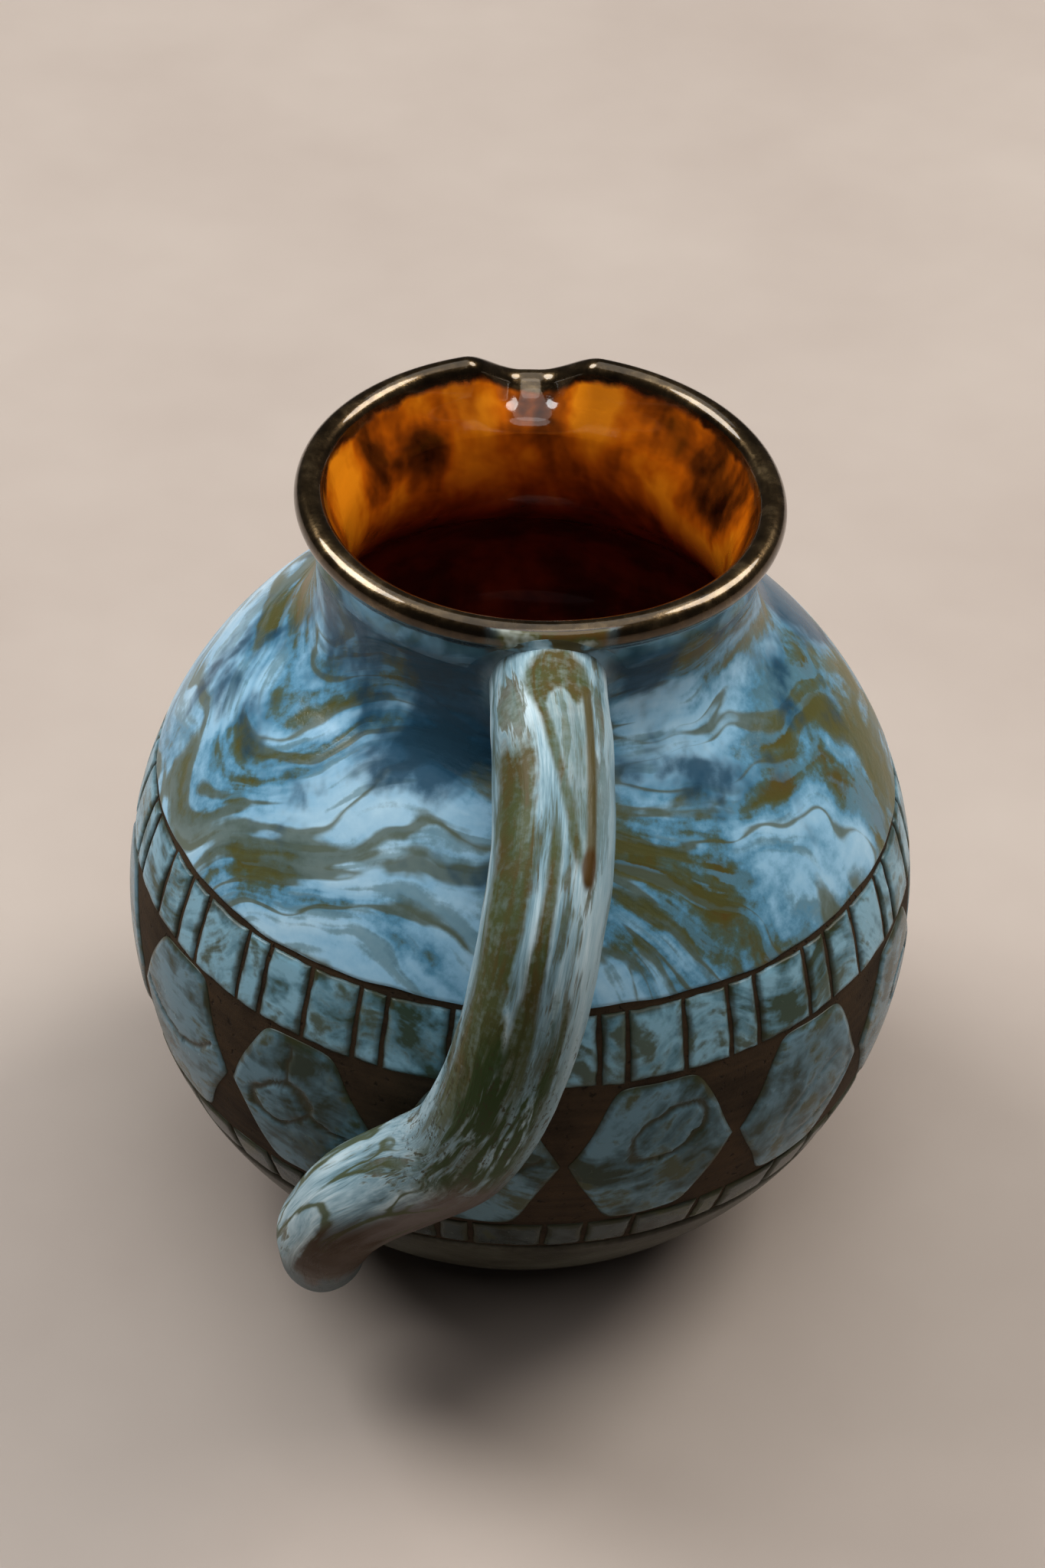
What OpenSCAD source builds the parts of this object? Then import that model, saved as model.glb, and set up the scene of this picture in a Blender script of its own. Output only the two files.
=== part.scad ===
// Glazed pouring jug: a globe on a turned foot, a collar with a rolled rim and a pinched pouring lip,
// and one pulled handle that springs from under the rim and ends in a tail pressed along the belly.
// Origin: middle of the foot's resting face. +Z is up, the handle is towards -Y, the lip towards +Y.

/* [Belly] */
// Outside diameter of the globe, over its glaze
belly_d = 132; // [122:1:146]
// Thickness of the clay wall of the globe and collar
wall = 3.9; // [3:0.1:5]
// Thickness of the clay floor above the foot
floor_t = 5; // [4:0.5:8]

/* [Foot] */
// Diameter of the resting face
foot_d = 62; // [50:1:66]
// Diameter of the flat on which the globe sits
foot_seat_d = 68; // [60:1:80]
// Height of the foot
foot_h = 4; // [3:0.5:8]
// Bevel round the resting face
foot_bevel = 0.8; // [0.4:0.1:1.5]

/* [Collar and rim] */
// Outside diameter of the collar at its waist
neck_d = 70; // [62:1:74]
// Radius of the hollow curve from the shoulder up to the waist
neck_curve = 16; // [10:1:22]
// Height from the waist to the top of the rim
neck_rise = 15.8; // [14:0.2:24]
// Outside diameter of the rim
rim_d = 77.2; // [75:0.2:84]
// Thickness of the rolled edge
roll_d = 4.8; // [4.4:0.1:6]
// How much higher the rim stands at the lip than over the handle
rim_lift = 1.4; // [0:0.2:3]

/* [Pouring lip] */
// Width of the lip between its two shoulders
lip_w = 24; // [16:1:30]
// How far the lip is pushed out past the rim
lip_out = 3.5; // [1:0.5:6]
// How far the lip is pressed down below the rim
lip_drop = 5.6; // [2:0.2:7]
// Height of the part of the rim that the lip bends
lip_depth = 10.5; // [9:0.5:13]

/* [Handle] */
// Thickness of the handle roll
handle_d = 18.5; // [15:0.5:21]
// Clear height of the crown of the handle over the seat of its tail
handle_lift = 24.5; // [20:0.5:32]
// How deep the tail is pressed against the belly
handle_seat = 1.3; // [0.8:0.1:2]
// Drop from the top of the rim to the top of the handle at its root
handle_drop = 2.4; // [1:0.2:6]
// Straight run of the handle outside the rim
handle_run = 7.5; // [6:0.5:12]
// Size of the clay fillet worked in round the root of the handle
handle_fillet = 5; // [3:0.5:6]

/* [Glaze] */
// Thickness of the outer glaze
glaze_t = 0.6; // [0.4:0.1:1]
// Thickness of the amber glaze inside
liner_t = 0.5; // [0.3:0.1:1]
// Width of the lines cut through the glaze
groove_w = 1; // [0.8:0.1:2]
// Clear gap between the cut glaze and the tail of the handle
tail_gap = 0.5; // [0.3:0.1:1]

/* [Borders] */
// Latitude of the line over the upper border, in degrees
upper_top_lat = 21.7; // [18:0.1:25]
// Latitude of the line under the upper border, in degrees
upper_low_lat = 10; // [8:0.5:13]
// Number of cells in the upper border
upper_cells = 52; // [36:1:64]
// Latitude of the line over the lower border, in degrees
lower_top_lat = -17.5; // [-19:0.5:-16]
// Latitude of the line under the lower border, in degrees
lower_low_lat = -25; // [-28:0.5:-23]
// Number of cells in the lower border
lower_cells = 44; // [32:1:56]

/* [Panels] */
// Number of panels round the belly
panel_count = 14; // [12:1:16]
// Height of a panel
panel_h = 30; // [22:0.5:30]
// Width of the bare clay between two panels at their points
panel_gap = 1; // [1:0.1:4]

/* [Hidden] */
$fn = 96;

// Gap that keeps a pressed or luted face clear of what it lies on
seat_clear = 0.1;
// How far a cutting shape runs past what it cuts
overrun = 20;

// Globe
belly_r = belly_d / 2;
clay_r = belly_r - glaze_t;
cavity_r = clay_r - wall;
belly_z = foot_h + sqrt(clay_r * clay_r - foot_seat_d * foot_seat_d / 4);
belly_c = [0, 0, belly_z];
cavity_floor_z = foot_h + floor_t;

// Collar: a hollow curve tangent to the globe and to the waist, then a flare up to the rolled edge
neck_r = neck_d / 2;
collar_t = wall + glaze_t;
curve_x = neck_r + neck_curve;
waist_z = belly_z + sqrt(pow(belly_r + neck_curve, 2) - curve_x * curve_x);
seam_lat = atan2(waist_z - belly_z, curve_x);
jug_h = waist_z + neck_rise;
rim_r = rim_d / 2;
roll_r = roll_d / 2;
roll_x = rim_r - roll_r;
roll_z = jug_h - roll_r;
flare_x = roll_x + collar_t / 2;
rim_base_z = jug_h - lip_depth;
flare_steps = 6;
flare_z = [for (i = [0:flare_steps]) waist_z + (rim_base_z - waist_z) * i / flare_steps];

function flare_r(z) = neck_r + (flare_x - neck_r) * pow((z - waist_z) / (roll_z - waist_z), 2);
function roll_edge_r(z) = roll_x + sqrt(max(0, roll_r * roll_r - pow(z - roll_z, 2)));
function globe_r(z) = sqrt(max(0, belly_r * belly_r - pow(z - belly_z, 2)));
function hollow_r(z) = curve_x - sqrt(max(0, neck_curve * neck_curve - pow(z - waist_z, 2)));

// Outside radius of the undisturbed globe, collar and rim at a height
function outside_r(z) =
    z < belly_z + belly_r * sin(seam_lat) ? globe_r(z)
    : z < waist_z ? hollow_r(z)
    : z < roll_z - roll_r ? flare_r(z)
    : z < roll_z ? max(flare_r(z), roll_edge_r(z))
    : roll_edge_r(z);

// Lip: a dip round +Y with a short flat middle, which grows towards the top of the rim
lip_half = lip_w / 2 / rim_r * 180 / PI;
lip_flat_share = 0.1;
function smooth(t) = let(s = min(max(t, 0), 1)) s * s * (3 - 2 * s);
function lip_wave(turn) = smooth((1 - abs(turn) / lip_half) / (1 - lip_flat_share));
function lip_rise(z) = smooth((z - rim_base_z) / lip_depth);

// Rim: its wall and roll as a closed loop of [radius, height], carried round in fine steps
rim_turns = 144;
roll_step = 30;
rim_wall_z = [for (i = [0:2]) rim_base_z + (roll_z - roll_r - rim_base_z) * i / 2];
rim_loop = concat(
    [for (z = rim_wall_z) [flare_r(z), z]],
    [for (a = [-roll_step:roll_step:180]) [roll_x + roll_r * cos(a), roll_z + roll_r * sin(a)]],
    [for (i = [2:-1:0]) [flare_r(rim_wall_z[i]) - collar_t, rim_wall_z[i]]]);

function rim_point(turn, p) =
    let(rise = lip_rise(p[1]), push = lip_wave(turn) * rise, r = p[0] + lip_out * push)
    [-r * sin(turn), r * cos(turn), p[1] - lip_drop * push + rim_lift * rise * (1 + cos(turn)) / 2];

// Handle route over the belly, from the crown to the end of the tail. Each row holds a latitude and a
// sideways sweep in degrees, the lift as a share of handle_lift and the thickness as a share of handle_d
handle_route_shares = [
    [50, 0, 0.62, 1],
    [41.5, 0.5, 0.89, 1],
    [34, 1.8, 1, 1],
    [25.5, 3.5, 0.81, 1],
    [16.5, 6, 0.48, 1],
    [8, 9.3, 0.18, 0.99],
    [0.5, 15, 0, 0.97],
    [-7, 22.2, 0, 0.94],
    [-17, 27.5, 0, 0.88],
    [-29, 31.5, 0, 0.78]];
handle_r = handle_d / 2;
handle_sides = 20;
route_steps = 4;
tip_steps = 4;
root_z = jug_h - handle_drop - handle_r;

function route_point(row) =
    let(reach = belly_r - handle_seat + handle_lift * row[2] + handle_r * row[3])
    belly_c + reach * [-cos(row[0]) * sin(row[1]), -cos(row[0]) * cos(row[1]), sin(row[0])];

route = concat(
    [[0, -neck_r, root_z], [0, -(rim_r + handle_run), root_z]],
    [for (row = handle_route_shares) route_point(row)]);
route_r = concat([handle_r, handle_r], [for (row = handle_route_shares) handle_r * row[3]]);
route_end = len(route) - 1;

// Point on a smooth curve through the route, at a whole or part station number
function knot(i) = i > route_end ? 2 * route[route_end] - route[route_end - 1] : route[i];
function curve(a, b, c, d, t) =
    b + t / 2 * (c - a) + t * t * (a - 5 / 2 * b + 2 * c - d / 2) + t * t * t * (3 / 2 * (b - c) + (d - a) / 2);
function along(s) =
    let(i = min(floor(s), route_end - 1))
    curve(knot(i - 1), knot(i), knot(i + 1), knot(i + 2), s - i);
function roll_at(s) =
    let(i = min(floor(s), route_end - 1))
    route_r[i] + (route_r[i + 1] - route_r[i]) * (s - i);

// Ring round the roll, square to the route, with its first point away from the belly
heading_step = 0.02;
function unit(v) = v / norm(v);
function heading(s) =
    unit(along(min(s + heading_step, route_end)) - along(max(s - heading_step, 1)));
function ring(middle, dir, r) =
    let(radial = middle - belly_c, out = unit(radial - (radial * dir) * dir), side = cross(dir, out))
    [for (m = [0:handle_sides - 1])
        let(a = 360 * m / handle_sides)
        pressed(middle + r * (cos(a) * out + sin(a) * side))];

// Clay pressed against the globe takes the globe's curve
function pressed(p) =
    let(reach = norm(p - belly_c), least = clay_r + seat_clear)
    reach < least ? belly_c + (p - belly_c) * (least / reach) : p;

// Ring of the root, lying on the collar and rim
function on_collar(x, z, off) = [x, -(sqrt(pow(outside_r(z), 2) - x * x) + seat_clear + off), z];
function root_ring(r) =
    [for (m = [0:handle_sides - 1])
        let(a = 360 * m / handle_sides)
        on_collar(-r * sin(a), root_z + r * cos(a), 0)];

tail_dir = heading(route_end);
tail_r = route_r[route_end];
handle_rings = concat(
    [root_ring(handle_r / 2), root_ring(handle_r)],
    [for (i = [route_steps:route_end * route_steps]) ring(along(i / route_steps), heading(i / route_steps),
                                                         roll_at(i / route_steps))],
    [for (i = [1:tip_steps - 1])
        let(a = 90 * i / tip_steps)
        ring(route[route_end] + tail_r * sin(a) * tail_dir, tail_dir, tail_r * cos(a))]);

// Fillet round the root: how wide it is at a turn round the handle, narrow where the rim is close, and
// how thick along its thin edge
fillet_top_share = 0.2;
fillet_edge = 0.4;
fillet_steps = 4;
function fillet_w(a) = handle_fillet * (fillet_top_share + (1 - fillet_top_share) * pow(sin(a / 2), 2));
function fillet_point(a, u, off) = on_collar(-u * sin(a), root_z + u * cos(a), off);
function fillet_loop(a) =
    let(w = fillet_w(a))
    concat(
        [for (i = [0:fillet_steps]) fillet_point(a, handle_r + w * i / fillet_steps, 0)],
        [for (i = [fillet_steps:-1:0])
            let(left = w * (1 - i / fillet_steps))
            fillet_point(a, handle_r + w - left, fillet_edge + w - sqrt(w * w - left * left))]);
fillet_turns = 2 * handle_sides;

// Faces of a skin over a list of rings, and of a skin that closes on itself
function skin_faces(rings, sides) =
    [for (i = [0:rings - 2], j = [0:sides - 1])
        let(a = i * sides + j, b = i * sides + (j + 1) % sides)
        each [[a, b + sides, b], [a, a + sides, b + sides]]];
function loop_faces(turns, sides) =
    [for (i = [0:turns - 1], j = [0:sides - 1])
        let(n = turns * sides, a = i * sides + j, b = i * sides + (j + 1) % sides)
        each [[a, b, (b + sides) % n], [a, (b + sides) % n, (a + sides) % n]]];
function flatten(rows) = [for (row = rows) each row];

// Closed skin over rings, with a pole at each end
module poled_skin(first, rings, last, sides) {
    count = len(rings) * sides;
    polyhedron(
        concat(flatten(rings), [first, last]),
        concat(
            skin_faces(len(rings), sides),
            [for (j = [0:sides - 1]) [count, j, (j + 1) % sides]],
            [for (j = [0:sides - 1]) [count + 1, count - sides + (j + 1) % sides, count - sides + j]]));
}

// Wedge of the half plane between two latitudes, seen from the middle of the globe
module latitudes(low, high) {
    reach = belly_d + overrun;
    polygon([[0, 0], reach * [cos(low), sin(low)], reach * [1, tan((low + high) / 2)],
             reach * [cos(high), sin(high)]]);
}

// Cross-section of a layer of the globe, from one radius to another, between two latitudes
module layer(inner, outer, low, high) {
    translate([0, belly_z])
        intersection() {
            difference() {
                circle(outer);
                circle(inner);
            }
            latitudes(low, high);
        }
}

// Half plane from a floor up to the slanted seam between the globe and the collar
module below_seam(floor_z) {
    polygon([[0, floor_z], [belly_d, floor_z], [belly_d, waist_z], [curve_x, waist_z], [0, belly_z]]);
}

// Wedge between that seam and the waist
module hollow_wedge() {
    polygon([[curve_x, waist_z], [0, waist_z], [0, belly_z]]);
}

// Lap across that seam, from the axis out to just inside a radius, so that both sides of it are one piece
module seam_lap(r) {
    tip_r = r - seat_clear;
    polygon([[0, belly_z - neck_curve], tip_r * [cos(seam_lat), sin(seam_lat)] + [0, belly_z],
             [0, belly_z + neck_curve]]);
}

// Cross-section of the space inside the globe and collar, drawn in by a layer
module cavity(layer_t) {
    intersection() {
        translate([0, belly_z]) circle(cavity_r - layer_t);
        below_seam(cavity_floor_z + layer_t);
    }
    seam_lap(cavity_r - layer_t);
    difference() {
        hollow_wedge();
        translate([curve_x, waist_z]) circle(neck_curve + collar_t + layer_t);
    }
    polygon(concat(
        [[0, rim_base_z], [0, waist_z]],
        [for (z = flare_z) [flare_r(z) - collar_t - layer_t, z]]));
}

// Glaze on the globe between two latitudes, all the way round
module glaze_band(low, high) {
    rotate_extrude() layer(clay_r, belly_r, low, high);
}

function degrees_of(length) = length / belly_r * 180 / PI;
groove_deg = degrees_of(groove_w);

// Border of glaze cells parted by cut bars, from a first turn over a span of turn. The bars wander a
// little, as cut by hand
bar_wander_share = 0.22;
bar_beat = 137.5;
function bar_at(i, cells, first, span) =
    first + span / cells * (i + (i < cells ? bar_wander_share * sin(bar_beat * i) : 0));
module border(low, high, cells, first, span) {
    bar = groove_deg / cos((low + high) / 2);
    for (i = [0:cells - 1]) {
        from = bar_at(i, cells, first, span);
        to = bar_at(i + 1, cells, first, span);
        rotate([0, 0, from + bar / 2])
            rotate_extrude(angle = to - from - bar)
                layer(clay_r, belly_r, low + groove_deg / 2, high - groove_deg / 2);
    }
}

// Panel between the borders: a hexagon with its points to the sides, as shares of half its size
panel_outline_shares = [[1, 0], [0.48, 1], [-0.48, 1], [-1, 0], [-0.48, -1], [0.48, -1]];
panel_lat = (upper_low_lat + lower_top_lat) / 2;
panel_first_sweep = -17;
// Room for a panel that stays a line's width clear of both borders
panel_room = 2 * belly_r * sin((upper_low_lat - lower_top_lat) / 2) - groove_w;
panel_fit_h = min(panel_h, panel_room);
panel_w = 2 * PI * belly_r / panel_count - panel_gap;
panel_lean_share = 0.14;
module panel(i) {
    lean = panel_lean_share * sin(bar_beat * i);
    rotate([0, 0, -(panel_first_sweep + 360 * i / panel_count)])
        rotate([90 - panel_lat, 0, 0])
            linear_extrude(belly_d)
                polygon([for (p = panel_outline_shares)
                    [panel_w / 2 * (p[0] + lean * p[1] * (1 - abs(p[0]))), panel_fit_h / 2 * p[1]]]);
}

// Turn of the tail at a latitude, and half the turn that its roll takes of the glaze there
function tail_share(lat, column) = lookup(lat, [for (row = handle_route_shares) [row[0], row[column]]]);
function tail_turn(lat) = -90 - tail_share(lat, 1);
function tail_half(lat) =
    let(r = handle_r * tail_share(lat, 3), half = sqrt(pow(r + tail_gap, 2) - pow(r - handle_seat, 2)))
    asin(half / (belly_r * cos(lat)));
lower_first = tail_turn(lower_top_lat) + tail_half(lower_top_lat);
lower_last = tail_turn(lower_low_lat) - tail_half(lower_low_lat) + 360;

// Room for the tail of the handle where glaze would lie under it
tail_first = 6;
module tail_room() {
    for (i = [tail_first * route_steps:2:route_end * route_steps])
        translate(along(i / route_steps)) sphere(roll_at(i / route_steps) + tail_gap);
}

module foot() {
    color("saddlebrown")
        rotate_extrude()
            polygon([[0, 0], [foot_d / 2 - foot_bevel, 0], [foot_d / 2, foot_bevel],
                     [foot_seat_d / 2, foot_h], [0, foot_h]]);
}

module belly() {
    color("sienna")
        rotate_extrude()
            difference() {
                intersection() {
                    translate([0, belly_z]) circle(clay_r);
                    below_seam(foot_h);
                }
                intersection() {
                    translate([0, belly_z]) circle(cavity_r);
                    translate([0, cavity_floor_z]) square([belly_d, belly_d]);
                }
            }
}

module collar() {
    color("lightsteelblue")
        rotate_extrude() {
            intersection() {
                translate([curve_x, waist_z])
                    difference() {
                        circle(neck_curve + collar_t);
                        circle(neck_curve);
                    }
                hollow_wedge();
            }
            polygon(concat(
                [for (z = flare_z) [flare_r(z), z]],
                [for (i = [flare_steps:-1:0]) [flare_r(flare_z[i]) - collar_t, flare_z[i]]]));
        }
}

module rim() {
    points = [for (i = [0:rim_turns - 1], p = rim_loop) rim_point(360 * i / rim_turns - 180, p)];
    color("darkolivegreen")
        polyhedron(points, loop_faces(rim_turns, len(rim_loop)));
}

module handle() {
    color("powderblue")
        poled_skin(
            on_collar(0, root_z, 0), handle_rings,
            pressed(route[route_end] + tail_r * tail_dir), handle_sides);
}

module root_fillet() {
    points = [for (i = [0:fillet_turns - 1], p = fillet_loop(360 * i / fillet_turns)) p];
    color("lightblue")
        polyhedron(points, loop_faces(fillet_turns, 2 * (fillet_steps + 1)));
}

module liner_glaze() {
    color("darkorange")
        rotate_extrude()
            difference() {
                cavity(0);
                cavity(liner_t);
            }
}

module shoulder_glaze() {
    color("skyblue") glaze_band(upper_top_lat + groove_deg / 2, seam_lat);
}

module upper_border() {
    color("cadetblue") border(upper_low_lat, upper_top_lat, upper_cells, 0, 360);
}

module panels() {
    color("lightslategray")
        difference() {
            intersection() {
                rotate_extrude() layer(clay_r, belly_r, lower_top_lat, upper_low_lat);
                translate(belly_c)
                    for (i = [0:panel_count - 1]) panel(i);
            }
            tail_room();
        }
}

module lower_border() {
    color("slategray")
        border(lower_low_lat, lower_top_lat, lower_cells, lower_first, lower_last - lower_first);
}

module foot_glaze() {
    foot_edge_lat = -asin((belly_z - foot_h) / clay_r) + groove_deg;
    color("darkslategray")
        difference() {
            glaze_band(foot_edge_lat, lower_low_lat - groove_deg / 2);
            tail_room();
        }
}

foot();
belly();
collar();
rim();
handle();
root_fillet();
liner_glaze();
shoulder_glaze();
upper_border();
panels();
lower_border();
foot_glaze();
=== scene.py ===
import math

import bpy
import numpy as np
from mathutils import Matrix, Vector


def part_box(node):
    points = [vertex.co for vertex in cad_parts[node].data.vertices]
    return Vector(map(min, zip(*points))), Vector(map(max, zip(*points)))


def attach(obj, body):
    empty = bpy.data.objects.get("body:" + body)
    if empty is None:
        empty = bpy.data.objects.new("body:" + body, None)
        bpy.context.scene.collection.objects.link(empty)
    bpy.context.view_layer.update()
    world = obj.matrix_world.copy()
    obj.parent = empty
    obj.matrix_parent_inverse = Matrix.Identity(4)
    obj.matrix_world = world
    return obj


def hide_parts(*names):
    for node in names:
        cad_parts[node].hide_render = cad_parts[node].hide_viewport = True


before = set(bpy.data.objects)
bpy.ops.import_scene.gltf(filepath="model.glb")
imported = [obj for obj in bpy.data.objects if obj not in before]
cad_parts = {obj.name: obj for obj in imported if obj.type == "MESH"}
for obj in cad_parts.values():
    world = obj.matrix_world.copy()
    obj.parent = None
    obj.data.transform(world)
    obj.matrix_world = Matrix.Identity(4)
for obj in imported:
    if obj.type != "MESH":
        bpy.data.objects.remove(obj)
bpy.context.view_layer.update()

# The foot: a low turned disc of the pot's own brown stoneware, the only bare face the jug stands on.
# It is trimmed on the wheel, with a small bevel round the resting face and faint turning lines.
foot_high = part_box("foot")[1]
foot_h = foot_high.z
seat_r = foot_high.x
foot_r = 0.031
foot_bevel = 0.0008
flank_out, flank_up = 0.2, 0.3
top_step = 0.001
hidden_lap = 0.0003
pole_r = 0.002
fine_relief = 0.00022
clay_dark = (0.026, 0.017, 0.010, 1)
clay_mid = (0.058, 0.038, 0.022, 1)
clay_warm = (0.090, 0.055, 0.029, 1)


class Wire:
    """A socket in a node tree, so that sums of values read as plain Python."""

    def __init__(self, tree, socket=None):
        self.tree = tree
        self.socket = socket

    def node(self, kind, settings=None, inputs=None, output=0):
        """Any node, from its type, its settings and the values or links of its sockets."""
        made = self.tree.nodes.new(kind)
        for key, value in (settings or {}).items():
            if key == "stops":
                stops = made.color_ramp.elements
                while len(stops) < len(value):
                    stops.new(1)
                for stop, (place, colour) in zip(stops, value):
                    stop.position, stop.color = place, colour
            else:
                setattr(made, key, value)
        for key, value in (inputs or {}).items():
            if isinstance(value, Wire):
                self.tree.links.new(value.socket, made.inputs[key])
            else:
                made.inputs[key].default_value = value
        return Wire(self.tree, made.outputs[output])

    def maths(self, operation, first, second=0.0):
        return self.node("ShaderNodeMath", {"operation": operation}, {0: first, 1: second})

    def __add__(self, other): return self.maths("ADD", self, other)
    def __sub__(self, other): return self.maths("SUBTRACT", self, other)
    def __rsub__(self, other): return self.maths("SUBTRACT", other, self)
    def __mul__(self, other): return self.maths("MULTIPLY", self, other)
    def __truediv__(self, other): return self.maths("DIVIDE", self, other)
    def __rtruediv__(self, other): return self.maths("DIVIDE", other, self)
    def __pow__(self, other): return self.maths("POWER", self, other)
    def __abs__(self): return self.maths("ABSOLUTE", self)

    __radd__ = __add__
    __rmul__ = __mul__

    def low(self, other): return self.maths("MINIMUM", self, other)
    def high(self, other): return self.maths("MAXIMUM", self, other)
    def sine(self): return self.maths("SINE", self)
    def cosine(self): return self.maths("COSINE", self)
    def hypot(self, other): return (self * self + other * other) ** 0.5

    def step(self, start, end):
        """0 below start and 1 above end, with a soft change between them."""
        return self.node("ShaderNodeMapRange", {"interpolation_type": "SMOOTHSTEP"},
                         {0: self, 1: start, 2: end})

    def vectors(self, operation, other=None, output=0):
        inputs = {0: self}
        if other is not None:
            inputs[3 if operation == "SCALE" else 1] = other
        return self.node("ShaderNodeVectorMath", {"operation": operation}, inputs, output)

    def plus(self, other): return self.vectors("ADD", other)
    def less(self, other): return self.vectors("SUBTRACT", other)
    def scaled(self, share): return self.vectors("SCALE", share)
    def dot(self, other): return self.vectors("DOT_PRODUCT", other, 1)
    def unit(self): return self.vectors("NORMALIZE")
    def length(self): return self.vectors("LENGTH", output=1)
    def shifted(self, *shift): return self.plus(shift)
    def stretched(self, *shares): return self.vectors("MULTIPLY", shares)
    def axis(self, i): return self.node("ShaderNodeSeparateXYZ", None, {0: self}, i)

    def axes(self, x, y, z):
        return self.node("ShaderNodeCombineXYZ", None, {0: x, 1: y, 2: z})

    def noise(self, scale, detail=3.0, roughness=0.5, distortion=0.0, output=0):
        return self.node("ShaderNodeTexNoise", None,
                         {0: self, 2: scale, 3: detail, 4: roughness, 8: distortion}, output)

    def wander(self, scale, reach):
        """This place, shifted to and fro, as glaze shifts when it flows."""
        shift = self.noise(scale, 2, output=1).less((0.5, 0.5, 0.5))
        return self.plus(shift.scaled(2 * reach))

    def ramp(self, *stops):
        return self.node("ShaderNodeValToRGB", {"stops": stops}, {0: self})

    def paint(self, under, over):
        """The colour under, with the colour over laid on it as far as this mask goes."""
        return self.node("ShaderNodeMix", {"data_type": "RGBA"}, {0: self, 6: under, 7: over}, 2)

    def attribute(self, name, output="Fac"):
        return self.node("ShaderNodeAttribute", {"attribute_name": name}, output=output)


def material(name):
    made = bpy.data.materials.new(name)
    made.use_nodes = True
    shader = made.node_tree.nodes["Principled BSDF"]
    place = Wire(made.node_tree).node("ShaderNodeTexCoord", output="Object")
    return made, shader, place


def dress(shader, colour, roughness, relief, depth, metallic=None):
    """Wires up a material's colour, roughness and metal, and a bump of a real depth."""
    for name, value in (("Base Color", colour), ("Roughness", roughness), ("Metallic", metallic)):
        if value is not None:
            value.tree.links.new(value.socket, shader.inputs[name])
    bump = relief.node("ShaderNodeBump", None, {"Strength": 1.0, "Distance": depth, "Height": relief})
    relief.tree.links.new(bump.socket, shader.inputs["Normal"])


bare_clay, shader, place = material("bare_clay")
grain = place.noise(2600, 4, 0.65)
cloud = place.noise(70, 4, 0.6)
turning = place.stretched(1, 1, 14).noise(60)
pits = place.noise(900, 2).step(0.62, 0.75)
tone = cloud * 0.55 + turning * 0.25 + grain * 0.2
colour = pits.paint(tone.ramp((0.36, clay_dark), (0.5, clay_mid), (0.66, clay_warm)), clay_dark)
dress(shader, colour, 0.62 + grain * 0.25, grain * 0.5 + turning * 0.4 - pits * 0.6, fine_relief)
shader.inputs["Specular IOR Level"].default_value = 0.2


def even_turns(count):
    return np.linspace(0, 2 * math.pi, count, endpoint=False)


def lathe(profile, sides=256):
    """Rings of a turned form, from (radius, height) pairs along its profile."""
    turn = even_turns(sides)
    radius, height = np.array(profile, float).T[:, :, None]
    return np.stack([radius * np.cos(turn), radius * np.sin(turn), height + 0 * turn], axis=2)


def set_down(name, data):
    """An object in the scene, made from a mesh, a light or a camera."""
    made = bpy.data.objects.new(name, data)
    bpy.context.scene.collection.objects.link(made)
    return made


def skin(name, rings, made, poles=None, crease=40):
    """A closed mesh over rings. With no poles the last ring is joined to the first."""
    count, sides = rings.shape[:2]
    points = rings.reshape(-1, 3)
    index = np.arange(count * sides).reshape(count, sides)
    after = np.roll(index, -1, axis=1)
    upper, upper_after = np.roll(index, -1, axis=0), np.roll(after, -1, axis=0)
    rows = slice(None) if poles is None else slice(0, count - 1)
    quads = np.stack([index[rows], after[rows], upper_after[rows], upper[rows]], axis=2)
    faces = quads.reshape(-1, 4).tolist()
    if poles is not None:
        first, last = len(points), len(points) + 1
        points = np.vstack([points, poles])
        faces += [[first, b, a] for a, b in zip(index[0].tolist(), after[0].tolist())]
        faces += [[last, a, b] for a, b in zip(index[-1].tolist(), after[-1].tolist())]
    mesh = bpy.data.meshes.new(name)
    mesh.from_pydata(points.tolist(), [], faces)
    mesh.materials.append(made)
    mesh.shade_smooth()
    mesh.set_sharp_from_angle(angle=math.radians(crease))
    return set_down(name, mesh)


def place_piece(piece, slot, *nodes):
    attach(piece, "root")
    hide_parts(*nodes)


def arc(middle, radius, start, end, steps):
    """Points along an arc in the profile's plane, from one angle to another in degrees."""
    angle = np.radians(np.linspace(start, end, steps))
    return np.stack([middle[0] + radius * np.cos(angle), middle[1] + radius * np.sin(angle)], axis=1)


foot_top = foot_h + hidden_lap
slope = math.degrees(math.atan2(foot_h, seat_r - foot_r))
bevel_c = (foot_r - foot_bevel, foot_bevel)
foot_profile = np.vstack([
    np.linspace((pole_r, 0), (foot_r - foot_bevel, 0), 20),
    arc(bevel_c, foot_bevel, -80, slope - 90, 7),
    np.linspace((foot_r + (seat_r - foot_r) * flank_out, foot_h * flank_up), (seat_r, foot_h), 10),
    np.linspace((seat_r - top_step, foot_top), (pole_r, foot_top), 12)])
foot = skin("foot_disc", lathe(foot_profile), bare_clay, [(0, 0, 0), (0, 0, foot_top)])
place_piece(foot, "bare_clay", "foot")

# The globe: one thrown pot of dark brown stoneware, left bare where the glaze was cut away.
# Its wall stands on the foot and runs up under the shoulder's glaze to the collar.
belly_low, belly_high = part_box("belly")
clay_r = (belly_high.x - belly_low.x) / 2
panel_low, panel_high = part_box("panels")
glaze_r = (panel_high.x - panel_low.x) / 2
liner_low, liner_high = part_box("liner_glaze")
hollow_r = (liner_high.x - liner_low.x) / 2
floor_z = liner_low.z
globe_z = foot_h + math.sqrt(clay_r ** 2 - seat_r ** 2)
globe_c = np.array([0, 0, globe_z])


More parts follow.
